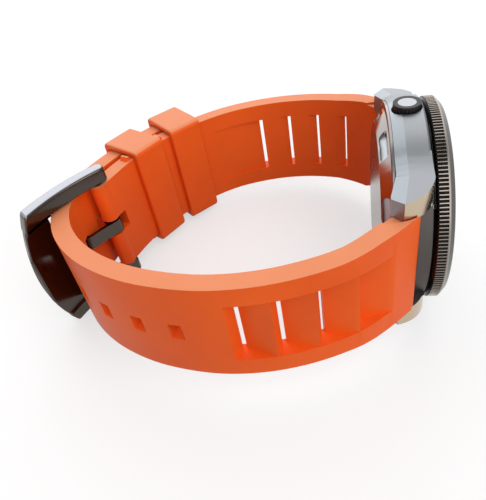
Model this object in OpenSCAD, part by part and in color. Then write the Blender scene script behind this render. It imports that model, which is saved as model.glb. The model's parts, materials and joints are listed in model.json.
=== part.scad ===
// Dive watch on a vented rubber strap, buckled into a loop and stood on its edge.
// The watch is drawn about its dial axis and then stood up on its case and buckle.

/* [Case] */
// Diameter of the round middle case
case_d = 41.8; // [41.4:0.1:43]
// Height of the middle case between caseback and bezel
case_h = 6.1; // [6:0.1:7]
// Length over the lug tips, 12 to 6 o'clock
lug_span = 44.2; // [43.6:0.2:46]
// Width over the lugs at their tips
lug_tip_w = 29.2; // [28.4:0.2:30]
// Width over the lugs where they leave the round case
lug_root_w = 33.4; // [33:0.2:33.8]
// Radius of the lugs' curved upper face
lug_curve_r = 7.7; // [7.4:0.1:8.2]
// How far the lugs reach below the case back plane
lug_drop = 1.3; // [1:0.1:1.6]
// Height of the polished bevel along the lower edge of the flank
bevel_h = 2; // [1.4:0.1:2.4]
// Depth of that bevel into the flank
bevel_in = 0.6; // [0.3:0.1:1]
// Diameter of the neck that the bezel turns on
neck_d = 33.8; // [33.4:0.1:34.2]
// Height of the neck above the case top
neck_h = 2.4; // [2.2:0.1:2.6]

/* [Caseback] */
// Height of the caseback below the case
caseback_h = 2.35; // [2.25:0.05:2.45]
// Diameter of the caseback's brushed outer step
caseback_d = 40.2; // [39.4:0.2:40.4]
// Diameter of the polished inner step with the wrench notches
caseback_step_d = 35.6; // [34.4:0.2:36.4]
// Diameter of the screwed-in plug
caseback_plug_d = 33; // [32.4:0.2:33.2]
// Wall of the caseback disc
caseback_t = 0.55; // [0.45:0.05:0.65]
// Number of wrench notches
notch_count = 8; // [4:1:8]
// Width of a wrench notch
notch_w = 6.5; // [4:0.5:8]

/* [Bezel and crystal] */
// Outside diameter of the turning bezel
bezel_d = 41; // [40:0.1:42]
// Full height of the bezel ring
bezel_h = 3.3; // [3.2:0.1:3.8]
// Height of the fluted skirt
skirt_h = 2.3; // [2:0.1:2.6]
// Number of flutes around the skirt
flute_count = 180; // [120:2:200]
// Diameter of the crystal
crystal_d = 30; // [29.6:0.1:30.4]
// Height of the crystal's edge
crystal_h = 2.3; // [2:0.1:2.8]
// Rise of the crystal's dome above its edge
dome_h = 0.7; // [0.3:0.1:1.2]

/* [Crown] */
// Diameter of the crown
crown_d = 5.1; // [4.8:0.1:5.4]
// Length of the crown
crown_len = 3.1; // [2.8:0.1:3.6]
// Distance of the crown's end face from the dial axis
crown_reach = 21.8; // [21.4:0.1:22.6]
// Depth of the crown's axis below the case top
stem_drop = 3; // [2.9:0.05:3.1]
// Diameter of the winding stem
stem_d = 1.1; // [0.9:0.1:1.2]

/* [Movement] */
// Diameter of the movement
movement_d = 27.4; // [27:0.1:27.8]
// Thickness of the main plate
plate_t = 2; // [1.9:0.05:2.2]
// Diameter of the dial
dial_d = 30.4; // [30:0.1:30.6]
// Thickness of the dial
dial_t = 0.4; // [0.3:0.05:0.5]
// Thickness of the toothed wheels
wheel_t = 0.2; // [0.15:0.01:0.22]

/* [Strap] */
// Width of the strap and of the gap between the lugs
strap_w = 22; // [20:0.5:23]
// Extra width on each side where the strap leaves the lugs
strap_flare = 0.5; // [0.2:0.1:1]
// Thickness of the half with the pin holes
tail_t = 3.7; // [3.2:0.1:4]
// Thickness of the half with the buckle
buckle_half_t = 3.4; // [3:0.1:3.8]
// Height of the vent slots across the strap
vent_h = 14; // [10:0.5:16]
// Distance from one vent to the next
vent_pitch = 7.4; // [6.8:0.1:7.6]
// Width of the open slot of a vent
vent_gap = 0.8; // [0.6:0.05:1]
// Thickness left at the foot of a vent's slope
blade_t = 0.8; // [0.6:0.05:1]
// Distance between pin holes
hole_pitch = 7.7; // [7.2:0.1:8]
// Length of a pin hole along the strap
hole_len = 2.6; // [2.4:0.1:3]
// Width of a pin hole across the strap
hole_w = 3.8; // [3.6:0.1:4.2]
// Length of a keeper along the strap
keeper_len = 8.2; // [7:0.1:8.4]
// Wall of a keeper
keeper_wall = 1.4; // [1.1:0.1:1.7]

/* [Buckle] */
// Width over the buckle's two arms
buckle_w = 29.6; // [29:0.2:31]
// Thickness of the buckle arms
arm_t = 3; // [2.6:0.1:3.2]
// Thickness of the buckle's crossbar plate
crossbar_t = 2; // [1.6:0.1:2.2]
// Length of the buckle from its bar to the middle of the free edge
buckle_len = 20.6; // [20:0.1:21.4]
// Radius that the buckle is curved to, to follow the wrist
buckle_r = 42; // [40:1:46]
// Diameter of the buckle bar
bar_d = 1.8; // [1.6:0.1:1.9]
// Width of the tongue
tongue_w = 3; // [2.6:0.1:3.2]
// Thickness of the tongue
tongue_t = 0.9; // [0.7:0.1:1]

/* [Stand] */
// Lean of the dial axis when the watch stands on its case and buckle
stand_lean = 5.75; // [5:0.05:6.5]
// Roll of the loop towards its 6 o'clock side
stand_roll = -5.5; // [-6.5:0.1:-4.5]
// Place of the origin, on the floor below the middle of the outline
stand_origin = [-38.765, -0.846, -17.611];

/* [Hidden] */
$fn = 72;

// Clearances: a close fit in one body, a running fit between two, and the play of soft pieces
close_gap = 0.03;
run_gap = 0.1;
bezel_gap = 0.4;
soft_gap = 0.35;
lap_gap = 1.5;

// Heights along the dial axis, measured from the bezel's rear edge
case_top = -bezel_gap;
case_bot = case_top - case_h;
back_face = case_bot - caseback_h;
back_floor = back_face + caseback_t;
neck_top = case_top + neck_h;
stem_w = case_top - stem_drop;
plate_top = stem_w + 1.5;
plate_bot = plate_top - plate_t;
dial_top = case_top - 0.1;
dial_bot = dial_top - dial_t;
crystal_bot = dial_top + 1.5;

// Radii about the dial axis
neck_r = neck_d / 2;
bezel_r = bezel_d / 2;
crystal_r = crystal_d / 2;
dial_r = dial_d / 2;
holder_r = dial_r + 0.15;
opening_r = dial_r - 1.2;
crystal_seat_r = crystal_r + 0.5;
plug_r = caseback_plug_d / 2;
movement_r = movement_d / 2;
lug_wall_r = plug_r + 0.5;
roof_r = bezel_r - 0.7;
roof_w = case_top - 2.4;
lug_gap = strap_w + 0.2;

// Spring bars and the strap's seats on them, in the plane of the strap loop
spring_bar_at = lug_span / 2 - 2.5;
spring_bar_x = case_top - 4.2;
spring_bar_r = 0.9;
spring_tip_r = 0.55;

function unit(v) = v / norm(v);
function left(v) = [-v[1], v[0]];

// Catmull-Rom curve through a list of points, and the ribbon of a strap along it
spline_steps = 5;
function bend(a, b, c, d, t) =
  0.5 * (2 * b + (c - a) * t + (2 * a - 5 * b + 4 * c - d) * t * t + (3 * b - 3 * c + d - a) * t * t * t);
function clamp(i, n) = min(max(i, 0), n - 1);
function curve(p) = let (n = len(p)) concat(
  [for (i = [0 : n - 2]) for (k = [0 : spline_steps - 1])
    bend(p[clamp(i - 1, n)], p[i], p[i + 1], p[clamp(i + 2, n)], k / spline_steps)],
  [p[n - 1]]);
function tangent(c, i) = unit(c[min(i + 1, len(c) - 1)] - c[max(i - 1, 0)]);
function lengths(c, i = 0, sum = 0) = i == len(c) - 1 ? [sum] :
  concat([sum], lengths(c, i + 1, sum + norm(c[i + 1] - c[i])));
function span_at(s, sl) = len([for (v = sl) if (v <= s) v]) - 1;
function point_at(c, sl, s) = let (i = clamp(span_at(s, sl), len(c) - 1),
  t = (s - sl[i]) / (sl[i + 1] - sl[i]))
  c[i] + (c[i + 1] - c[i]) * t;
function dir_at(c, sl, s) = let (i = clamp(span_at(s, sl), len(c) - 1),
  t = (s - sl[i]) / (sl[i + 1] - sl[i]))
  unit(tangent(c, i) * (1 - t) + tangent(c, i + 1) * t);
function angle_of(v) = atan2(v[1], v[0]);
function side(c, off) = [for (i = [0 : len(c) - 1]) c[i] + left(tangent(c, i)) * off];
function reversed(p) = [for (i = [len(p) - 1 : -1 : 0]) p[i]];
function ribbon(c, a, b) = concat(side(c, a), reversed(side(c, b)));

// Loop of the strap, by hand from the photograph: the buckle half from the 6 o'clock bar to the
// buckle bar, and the free run of the tail half from the 12 o'clock bar to the buckle
buckle_half_points = [
  [spring_bar_x, spring_bar_at], [-9, 24.1], [-15, 27.3], [-22, 29.1], [-29, 29.5], [-36, 28.6],
  [-43.5, 26.2], [-50.5, 21.9], [-56.3, 16.4], [-61, 10.2], [-64.6, 3.5], [-67.2, -3.7]];
tail_free_points = [
  [spring_bar_x, -spring_bar_at], [-9.4, -24.4], [-15, -28.8], [-22.3, -32.1], [-30.2, -34.1],
  [-38.4, -34.6], [-46.5, -33.5], [-53.5, -31.4], [-60.3, -27.9], [-66, -23.2], [-70.2, -17.5],
  [-72.5, -10.8]];
buckle_bar_at = buckle_half_points[len(buckle_half_points) - 1];
lap_off = buckle_half_t / 2 + lap_gap + tail_t / 2;
lap_count = 6;
function lap_point(i) = let (p = buckle_half_points, n = len(p))
  p[i] + left(unit(p[min(i + 1, n - 1)] - p[i - 1])) * -lap_off;
lap_last = len(buckle_half_points) - lap_count;
tail_end_share = 0.45;
tail_points = concat(tail_free_points,
  [for (i = [0 : lap_count - 2]) lap_point(len(buckle_half_points) - 1 - i)],
  [lap_point(lap_last + 1) + (lap_point(lap_last) - lap_point(lap_last + 1)) * tail_end_share]);
tail_curve = curve(tail_points);
tail_len = lengths(tail_curve);
half_curve = curve(buckle_half_points);
half_len = lengths(half_curve);
engaged_at = lengths(curve(tail_free_points))[spline_steps * (len(tail_free_points) - 1)];

// Places along the buckle half
half_end = half_len[len(half_len) - 1];
bump_len = 1.6;
fixed_keeper_s = half_end - 15;
sliding_keeper_s = fixed_keeper_s - keeper_len - bump_len - 1.8;
bump_h = 0.9;
first_vent_half = 11.6;
first_vent_tail = 11.7;
vent_count = 4;
keeper_travel = 3;

// Buckle frame, drawn from its bar: p runs to the free edge and q away from the wrist
buckle_turn = 226.9;
arm_z0 = strap_w / 2 + 0.4;
arm_z1 = buckle_w / 2;
bar_behind = 2.2;
crossbar_from = buckle_len - 7.3;
free_edge_r = 33;

// Wheel train, as centre distances and teeth
centre_third = 5;
third_teeth = [64, 8];
centre_teeth = [60, 8];
barrel_teeth = [80, 10];
barrel_centre = 6.2;
escape_teeth = [84, 7];
fourth_escape = 4.8;
cannon_teeth = [10, 30];
hour_teeth = [8, 32];
motion_dist = 2.6;
third_dir = 200;
escape_dir = 290;
barrel_dir = 60;
minute_dir = 150;
function polar(r, a) = [r * cos(a), r * sin(a)];
third_at = polar(centre_third, third_dir);
escape_at = polar(fourth_escape, escape_dir);
barrel_at = polar(barrel_centre, barrel_dir);
minute_at = polar(motion_dist, minute_dir);
balance_at = [2, -9.4];
pallet_at = [1.8, -6.9];
balance_r = 3.5;
escape_r = 2.1;
crown_wheel_at = [7.9, 0];
crown_wheel_teeth = [16, 40];
ratchet_teeth = 50;
wind_dist = norm(crown_wheel_at - barrel_at);
crown_wheel_r = [1.4, wind_dist * crown_wheel_teeth[1] / (crown_wheel_teeth[1] + ratchet_teeth)];
ratchet_r = wind_dist - crown_wheel_r[1];
winding_pinion_r = 1.15;
winding_at = crown_wheel_at[0] + crown_wheel_r[0];

// Levels of the train, below the main plate
barrel_top = plate_bot - 0.15;
barrel_h = 1;
barrel_bot = barrel_top - barrel_h;
centre_lvl = barrel_bot - 0.35;
third_lvl = centre_lvl - 0.4;
fourth_lvl = third_lvl - 0.4;
bridge_top = fourth_lvl - 0.15;
bridge_t = 0.7;
bridge_bot = bridge_top - bridge_t;
barrel_bridge_top = barrel_bot - 0.1;
barrel_bridge_t = 1.05;
ratchet_lvl = barrel_bridge_top - barrel_bridge_t - 0.3;
escape_lvl = plate_bot - 0.4;
pallet_bridge_t = 0.3;
pallet_bridge_bot = escape_lvl - 0.45;
balance_lvl = pallet_bridge_bot - 0.6;
rotor_bot = back_floor + 0.2;
rotor_t = 0.55;
motion_lvl = plate_top + 0.15;
hour_lvl = motion_lvl + 0.45;

// Hands above the dial
hour_hand_w = dial_top + 0.4;
hand_step = 0.35;
hand_t = 0.15;

module stood() {
  rotate([stand_roll, -stand_lean, 0]) translate(-stand_origin) children();
}

// u to 3 o'clock, v to 12 o'clock and w out through the crystal
module dial_frame() {
  stood() rotate([180, 0, 0]) rotate([0, 90, 0]) children();
}

module along_u() { rotate([0, 90, 0]) children(); }

module ring(ro, ri, w0, w1) {
  translate([0, 0, w0]) difference() {
    cylinder(r = ro, h = w1 - w0);
    translate([0, 0, -1]) cylinder(r = ri, h = w1 - w0 + 2);
  }
}

module disc(r, w0, w1) { translate([0, 0, w0]) cylinder(r = r, h = w1 - w0); }

module tooth_outline(r, n) {
  m = 2 * r / n;
  polygon([for (i = [0 : n - 1]) for (k = [[-0.32, -1.1], [-0.14, 0.75], [0.14, 0.75], [0.32, -1.1]])
    polar(r + k[1] * m, 360 * (i + k[0]) / n)]);
}

module gear(r, n, w, t, bore) {
  translate([0, 0, w]) linear_extrude(t) difference() {
    tooth_outline(r, n);
    circle(r = bore, $fn = 32);
  }
}

// Five cut-outs that leave spokes in a wheel
module spokes(r_in, r_out, w, t) {
  for (i = [0 : 4]) rotate(72 * i) translate([0, 0, w - 0.5]) linear_extrude(t + 1) intersection() {
    difference() {
      circle(r = r_out);
      circle(r = r_in);
    }
    polygon([[0, 0], polar(3 * r_out, -27), polar(3 * r_out, 27)]);
  }
}

// Middle case
lug_round_at = [lug_span / 2 - lug_curve_r, case_top - 7.5];
lug_bot = case_bot - lug_drop;

module case_side_outline() {
  difference() {
    intersection() {
      union() {
        translate([-lug_round_at[0], case_bot]) square([2 * lug_round_at[0], case_h]);
        for (m = [-1, 1]) translate([m * lug_round_at[0], lug_round_at[1]]) circle(r = lug_curve_r);
      }
      translate([-lug_span, lug_bot]) square([2 * lug_span, case_top - lug_bot]);
    }
    for (m = [-1, 1]) translate([m * (lug_span / 2 - 0.2), lug_bot]) rotate(45)
      square(2.9, center = true);
    polygon([[-lug_round_at[0], case_bot], [-lug_span / 2 + 3, lug_bot], [-lug_span / 2 + 3, lug_bot - 1],
      [lug_span / 2 - 3, lug_bot - 1], [lug_span / 2 - 3, lug_bot], [lug_round_at[0], case_bot]]);
  }
}

lug_root_v = 12.5;

// Hollow curve between the round flank and the straight side of a lug, about a centre beside the case
lug_blend_r = 14;
lug_side = unit([(lug_tip_w - lug_root_w) / 2, lug_span / 2 + 1 - lug_root_v]);
lug_out = [lug_side[1], -lug_side[0]];
blend_from = [lug_root_w / 2, lug_root_v] + lug_out * lug_blend_r;
blend_dot = blend_from * lug_side;
blend_at = blend_from + lug_side * (sqrt(blend_dot * blend_dot - blend_from * blend_from
  + pow(case_d / 2 + lug_blend_r, 2)) - blend_dot);
blend_a0 = angle_of(-blend_at) + 360;
blend_a1 = angle_of(-lug_out) + 360;
blend_steps = 4;
blend_chain = concat([unit(blend_at) * (case_d / 2 - 0.12)], [for (k = [1 : blend_steps])
  blend_at + polar(lug_blend_r, blend_a0 + (blend_a1 - blend_a0) * k / blend_steps)]);

module lug_outline() {
  for (m = [-1, 1]) for (k = [-1, 1]) scale([m, k]) polygon(concat([[lug_gap / 2 - 3, 7],
    [lug_gap / 2 - 3, lug_span / 2 + 1], [lug_tip_w / 2, lug_span / 2 + 1]], reversed(blend_chain),
    [unit(blend_at) * (case_d / 2 - 3)]));
}

// Polished bevel along the lower edge of each lug, level with the bevel of the round flank
module bevel_cut(from, dir, lean, behind, ahead) {
  translate([from[0], from[1], case_bot + bevel_h]) rotate(angle_of(dir)) rotate([0, lean, 0])
    rotate([atan(bevel_in / bevel_h), 0, 0]) translate([-behind, -6, -6]) cube([behind + ahead, 6, 7]);
}

module lug_bevels() {
  for (m = [0, 1]) mirror([m, 0, 0]) for (k = [0, 1]) mirror([0, k, 0]) {
    for (j = [0 : blend_steps - 1]) let (step = blend_chain[j + 1] - blend_chain[j])
      bevel_cut(blend_chain[j], step, 0, j == 0 ? 2 : 0, norm(step) + 0.1);
    bevel_cut(blend_chain[blend_steps], lug_side, 11, 0, 20);
  }
}

module round_flank() {
  r = case_d / 2;
  rotate_extrude($fn = 180) polygon([[0, case_bot], [r - bevel_in, case_bot], [r, case_bot + bevel_h],
    [r, case_top - 0.4], [r - 0.4, case_top], [0, case_top]]);
}

module lug_gap_cut() {
  difference() {
    translate([-lug_gap / 2, -lug_span, lug_bot - 1]) cube([lug_gap, 2 * lug_span, case_h + lug_drop + 2]);
    disc(lug_wall_r, lug_bot - 2, roof_w);
    disc(roof_r, roof_w, case_top + 2);
  }
}

module mid_case() {
  color("silver") dial_frame() difference() {
    union() {
      difference() {
        intersection() {
          translate([0, 0, lug_bot]) linear_extrude(case_top - lug_bot) lug_outline();
          rotate([90, 0, 90]) translate([0, 0, -case_d]) linear_extrude(2 * case_d) case_side_outline();
        }
        lug_bevels();
      }
      round_flank();
      disc(neck_r, case_top - 0.5, neck_top);
    }
    lug_gap_cut();
    disc(caseback_d / 2 + 0.3, lug_bot - 1, case_bot);
    disc(plug_r + run_gap, case_bot - 1, case_bot + 1.3);
    disc(holder_r, case_bot - 1, dial_top);
    disc(opening_r, case_bot, neck_top + 1);
    disc(crystal_seat_r, crystal_bot - 0.1, neck_top + 1);
    ring(neck_r + 1, neck_r - 0.45, 0.75, 1.3);
    translate([0, 0, stem_w]) along_u() {
      disc(crown_tube_r, 0, crown_reach);
      disc(crown_d / 2 + 0.25, crown_reach - crown_len - 0.2, crown_reach + 5);
    }
    for (m = [-1, 1]) translate([0, m * spring_bar_at, spring_bar_x]) along_u() {
      disc(spring_tip_r + close_gap, -spring_tip_end - 0.1, spring_tip_end + 0.1);
      disc(boss_r + close_gap, -strap_w / 2, strap_w / 2);
    }
  }
}

// The first wrench pocket, turned from 3 o'clock
notch_turn = 18.5;
notch_deep = 1.2;
slope_in = 0.9;

module caseback() {
  step_w = case_bot - 0.5;
  pocket_h = 0.7 * (step_w - back_face);
  color("silver") dial_frame() difference() {
    union() {
      disc(caseback_d / 2, step_w, case_bot);
      translate([0, 0, back_face]) cylinder(r1 = caseback_step_d / 2 - slope_in, r2 = caseback_step_d / 2
        + slope_in, h = step_w - back_face);
      disc(plug_r, case_bot, case_bot + 1.2);
    }
    disc(holder_r, back_floor, case_bot + 2);
    ring(plug_r + 0.7, plug_r + 0.2, case_bot - 0.45, case_bot + 0.01);
    for (i = [0 : notch_count - 1]) rotate(360 * i / notch_count + notch_turn)
      translate([caseback_step_d / 2 - notch_deep, 0, (step_w + back_face) / 2]) along_u()
        linear_extrude(3) {
          square([pocket_h, notch_w - pocket_h], center = true);
          for (m = [-1, 1]) translate([0, m * (notch_w - pocket_h) / 2]) circle(r = pocket_h / 2, $fn = 32);
        }
  }
}

module caseback_gasket() {
  color("black") dial_frame()
    ring(plug_r + 0.7 - close_gap, plug_r + 0.2 + close_gap, case_bot - 0.45 + close_gap,
      case_bot - close_gap);
}

module crystal() {
  top = crystal_bot + crystal_h;
  dome_r = (pow(crystal_r - 0.4, 2) + dome_h * dome_h) / (2 * dome_h);
  color("white", 0.4) dial_frame() union() {
    disc(crystal_r, crystal_bot, top - 0.3);
    intersection() {
      translate([0, 0, top + dome_h - dome_r]) sphere(r = dome_r, $fn = 180);
      disc(crystal_r - 0.4, top - 0.3, top + 2);
    }
  }
}

module crystal_gasket() {
  color("dimgray") dial_frame()
    ring(crystal_seat_r - close_gap, crystal_r + close_gap, crystal_bot - 0.1, neck_top);
}

module bezel_click_spring() {
  color("silver") dial_frame() translate([0, 0, case_top]) linear_extrude(0.25) intersection() {
    difference() {
      circle(r = neck_r + 1.9);
      circle(r = neck_r + 0.7);
    }
    polygon([[0, 0], polar(40, 10), polar(40, 35), polar(40, 60)]);
  }
}

module bezel_gasket() {
  color("black") dial_frame() ring(neck_r - close_gap, neck_r - 0.42, 0.8, 1.25);
}

bezel_bore_r = neck_r + run_gap;
insert_floor = neck_top + 0.6;
insert_t = bezel_h - insert_floor - 0.1;

module bezel_ring() {
  flute_r = 0.36 * PI * bezel_d / flute_count;
  color("dimgray") dial_frame() difference() {
    rotate_extrude($fn = 180) polygon([
      [bezel_bore_r, 0], [bezel_r - 0.6, 0], [bezel_r, 0.5], [bezel_r, skirt_h],
      [bezel_r - 0.25, skirt_h + 0.25],
      [bezel_r - 1.1, bezel_h], [bezel_r - 1.6, bezel_h], [bezel_r - 1.6, insert_floor],
      [crystal_r + 0.25, insert_floor], [crystal_r + 0.25, neck_top + 0.12],
      [bezel_bore_r, neck_top + 0.12]]);
    for (i = [0 : flute_count - 1]) rotate(360 * i / flute_count) translate([bezel_r, 0, 0.1])
      cylinder(r = flute_r, h = skirt_h - 0.3, $fn = 16);
  }
}

module bezel_insert() {
  color("#303033") dial_frame() difference() {
    ring(bezel_r - 1.6 - close_gap, crystal_r + 0.3, insert_floor, insert_floor + insert_t);
    translate([0, pip_at, insert_floor]) cylinder(r = pip_r + close_gap, h = 4, $fn = 32);
  }
}

pip_r = 0.8;
pip_at = (bezel_r - 1.6 + crystal_r + 0.3) / 2;

module bezel_pip() {
  color("white") dial_frame() translate([0, pip_at, insert_floor])
    cylinder(r = pip_r, h = insert_t + 0.1, $fn = 32);
}

// Crown and stem, along u from the dial axis
crown_in = crown_reach - crown_len;
crown_tube_r = 1.25;
crown_cap_r = crown_d / 2 - 0.85;
crown_tube_end = crown_in + 1.4;
crown_pull = 1.6;

module on_stem() { dial_frame() translate([0, 0, stem_w]) along_u() children(); }

module crown_tube() {
  color("silver") on_stem() ring(crown_tube_r - close_gap, stem_d / 2 + 0.15, holder_r + 0.1,
    crown_tube_end);
}

module crown() {
  grooves = 24;
  color("#222222") on_stem() difference() {
    disc(crown_d / 2, crown_in, crown_reach);
    disc(crown_tube_r + 0.3, crown_in - 1, crown_tube_end + 0.15);
    disc(crown_cap_r, crown_reach - 0.3, crown_reach + 1);
    disc(stem_d / 2, crown_in, crown_tube_end + 0.8);
    for (i = [0 : grooves - 1]) rotate(360 * i / grooves) translate([crown_d / 2 + 0.08, 0, crown_in - 1])
      cylinder(r = 0.22, h = crown_len + 0.55, $fn = 16);
  }
}

module crown_cap() {
  color("silver") on_stem() disc(crown_cap_r - close_gap, crown_reach - 0.3, crown_reach - 0.02);
}

module crown_gasket() {
  color("black") on_stem() ring(crown_tube_r + 0.3 - close_gap, crown_tube_r + close_gap,
    crown_in + 0.3, crown_in + 0.8);
}

stem_in = 6.2;

module winding_stem() {
  color("silver") on_stem() union() {
    disc(stem_d / 2 - close_gap, stem_in + 1.9, crown_tube_end + 0.75);
    disc(stem_d / 2 - 0.15, stem_in - crown_pull - 0.6, stem_in + 1.9);
  }
}

module winding_pinion() {
  w0 = winding_at - 0.5;
  color("silver") on_stem() gear(winding_pinion_r, 12, w0, 1, stem_d / 2 + close_gap);
}

module sliding_pinion() {
  w0 = winding_at - 2.3;
  color("silver") on_stem() gear(0.95, 12, w0, 1.5, stem_d / 2 + close_gap);
}

module crown_wheel() {
  color("silver") dial_frame() translate(concat(crown_wheel_at, 0)) union() {
    gear(crown_wheel_r[0], crown_wheel_teeth[0], stem_w - winding_pinion_r - 0.38, 0.2, 0.2);
    disc(0.45, ratchet_lvl, stem_w - winding_pinion_r - 0.3);
    rotate(angle_of(barrel_at - crown_wheel_at))
      gear(crown_wheel_r[1], crown_wheel_teeth[1], ratchet_lvl, wheel_t, 0.2);
  }
}

module ratchet_wheel() {
  turn = angle_of(crown_wheel_at - barrel_at);
  color("silver") dial_frame() translate(concat(barrel_at, 0)) union() {
    rotate(turn + 180 / ratchet_teeth) gear(ratchet_r, ratchet_teeth, ratchet_lvl, wheel_t, 0.3);
    disc(0.6, ratchet_lvl, barrel_top + 0.6);
  }
}

module ratchet_click() {
  color("silver") dial_frame() translate([click_at[0], click_at[1], ratchet_lvl]) union() {
    cylinder(r = 0.5, h = wheel_t, $fn = 24);
    translate([0, 0, 0.05]) cylinder(r = 0.2, h = barrel_bridge_top - ratchet_lvl - 0.3, $fn = 24);
    rotate(62 + 128) translate([0, -0.22, 0]) cube([1.3, 0.44, wheel_t]);
  }
}

// Movement
module movement_holder() {
  color("gainsboro") dial_frame() difference() {
    ring(holder_r - close_gap, movement_r + close_gap, plate_bot, dial_bot - 0.02);
    translate([0, 0, stem_w]) along_u() disc(stem_d / 2 + 0.2, 0, 30);
  }
}

module main_plate() {
  channel = 2 * winding_pinion_r + 0.5;
  color("silver") dial_frame() difference() {
    disc(movement_r, plate_bot, plate_top);
    disc(0.62, plate_bot - 1, plate_top + 1);
    translate([stem_in - 0.6 - crown_pull, -channel / 2, plate_bot - 1])
      cube([winding_at + 1 - stem_in + 0.6 + crown_pull, channel, plate_t + 2]);
    translate([0, 0, stem_w]) along_u() disc(stem_d / 2 + 0.05, 0, 30);
    for (p = [third_at, escape_at, balance_at, pallet_at]) translate([p[0], p[1], plate_bot - 1])
      cylinder(r = jewel_r, h = 1 + jewel_t, $fn = 32);
    translate([barrel_at[0], barrel_at[1], plate_bot - 1]) cylinder(r = 0.65, h = plate_t + 2, $fn = 32);
    translate([minute_at[0], minute_at[1], plate_bot]) cylinder(r = 0.22, h = plate_t + 1, $fn = 32);
    for (p = pillar_at) translate([p[0], p[1], plate_bot - 1]) cylinder(r = screw_r + close_gap, h = 2,
      $fn = 24);
  }
}

jewel_r = 0.5;
jewel_t = 0.4;
arbor_r = 0.16;
screw_r = 0.5;
pillar_r = 0.9;
pillar_at = [for (a = [165, 250, 310, 48, 105, 205]) polar(12.6, a)];

module pillar(i, w) {
  translate([pillar_at[i][0], pillar_at[i][1], w]) cylinder(r = pillar_r, h = plate_bot - w, $fn = 32);
}

module pillar_hole(i) {
  translate([pillar_at[i][0], pillar_at[i][1], bridge_bot - 3]) cylinder(r = screw_r + close_gap,
    h = 12, $fn = 24);
}

module barrel_bridge() {
  w0 = barrel_bridge_top - barrel_bridge_t;
  color("silver") dial_frame() difference() {
    union() {
      translate([0, 0, w0]) linear_extrude(barrel_bridge_t) intersection() {
        circle(r = movement_r - 0.4);
        difference() {
          union() {
            translate([-3.4, 0]) square([20, 20]);
            translate([4, -1.6]) square([12, 2]);
          }
          circle(r = 4.9);
        }
      }
      pillar(3, w0);
      pillar(4, w0);
    }
    translate([barrel_at[0], barrel_at[1], w0 - 1]) cylinder(r = 0.65, h = 4, $fn = 32);
    translate([crown_wheel_at[0], crown_wheel_at[1], w0 - 1]) cylinder(r = 0.5, h = 4, $fn = 32);
    translate([click_at[0], click_at[1], w0 - 1]) cylinder(r = 0.24, h = 4, $fn = 24);
    pillar_hole(3);
    pillar_hole(4);
  }
}

click_at = barrel_at + polar(ratchet_r + 1.1, 62);

module train_bridge() {
  color("silver") dial_frame() difference() {
    union() {
      translate([0, 0, bridge_bot]) linear_extrude(bridge_t) intersection() {
        circle(r = movement_r - 0.4);
        union() {
          translate([-20, -5.6]) square([17, 20]);
          translate([-4, -5.6]) square([6.9, 7.6]);
        }
      }
      pillar(0, bridge_bot);
      pillar(5, bridge_bot);
    }
    translate([0, 0, bridge_bot - 1]) cylinder(r = rotor_post_r, h = 1.3, $fn = 48);
    translate([barrel_at[0], barrel_at[1], bridge_bot - 1]) cylinder(r = ratchet_r + 0.4, h = 2);
    translate([pillar_at[4][0], pillar_at[4][1], bridge_bot - 1]) cylinder(r = pillar_r + 0.2, h = 2);
    for (p = [third_at, [0, 0], escape_at]) translate([p[0], p[1], bridge_top - jewel_t])
      cylinder(r = jewel_r, h = 1, $fn = 32);
    pillar_hole(0);
    pillar_hole(5);
  }
}

module balance_cock() {
  color("silver") dial_frame() difference() {
    union() {
      translate([0, 0, bridge_bot]) linear_extrude(bridge_t) intersection() {
        circle(r = movement_r - 0.4);
        translate([0.4, -20]) square([12, 11.8]);
      }
      pillar(2, bridge_bot);
    }
    translate([balance_at[0], balance_at[1], bridge_top - jewel_t]) cylinder(r = jewel_r, h = 1, $fn = 32);
    pillar_hole(2);
  }
}

module pallet_bridge() {
  w0 = pallet_bridge_bot;
  color("silver") dial_frame() difference() {
    union() {
      translate([-5.2, -7.7, w0]) cube([7.9, 1.5, pallet_bridge_t]);
      translate([-5.2, -12, w0]) cube([2, 5, pallet_bridge_t]);
      pillar(1, w0);
    }
    translate([pallet_at[0], pallet_at[1], w0 - 1]) cylinder(r = jewel_r, h = 2, $fn = 32);
    pillar_hole(1);
  }
}

function screw_seat(i) = i == 1 ? pallet_bridge_bot :
  i == 3 || i == 4 ? barrel_bridge_top - barrel_bridge_t : bridge_bot;

module bridge_screws() {
  head_t = 0.3;
  color("steelblue") dial_frame() for (i = [0 : len(pillar_at) - 1]) {
    seat = screw_seat(i);
    translate([pillar_at[i][0], pillar_at[i][1], 0]) difference() {
      union() {
        disc(screw_r, seat, plate_bot + 0.9);
        disc(0.8, seat - head_t, seat);
      }
      translate([-1, -0.1, seat - head_t - 0.1]) cube([2, 0.2, 0.22]);
    }
  }
}

module jewel(p, w) {
  translate([p[0], p[1], 0]) ring(jewel_r - close_gap, arbor_r + close_gap, w, w + jewel_t - close_gap);
}

module jewels() {
  color("crimson") dial_frame() {
    for (p = [third_at, escape_at, balance_at, pallet_at]) jewel(p, plate_bot);
    for (p = [third_at, [0, 0], escape_at, balance_at]) jewel(p, bridge_top - jewel_t + close_gap);
    jewel(pallet_at, pallet_bridge_bot - 0.08);
  }
}

module barrel() {
  r = barrel_centre * barrel_teeth[0] / (barrel_teeth[0] + barrel_teeth[1]);
  color("goldenrod") dial_frame() translate(concat(barrel_at, 0)) difference() {
    union() {
      rotate(barrel_dir + 180) gear(r, barrel_teeth[0], barrel_top - 0.25, 0.25, 0.65);
      ring(r - 0.35, 0.65, barrel_bot, barrel_top - 0.25);
    }
    ring(r - 0.6, 0.85, barrel_bot + 0.15, barrel_top - 0.2);
  }
}

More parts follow.
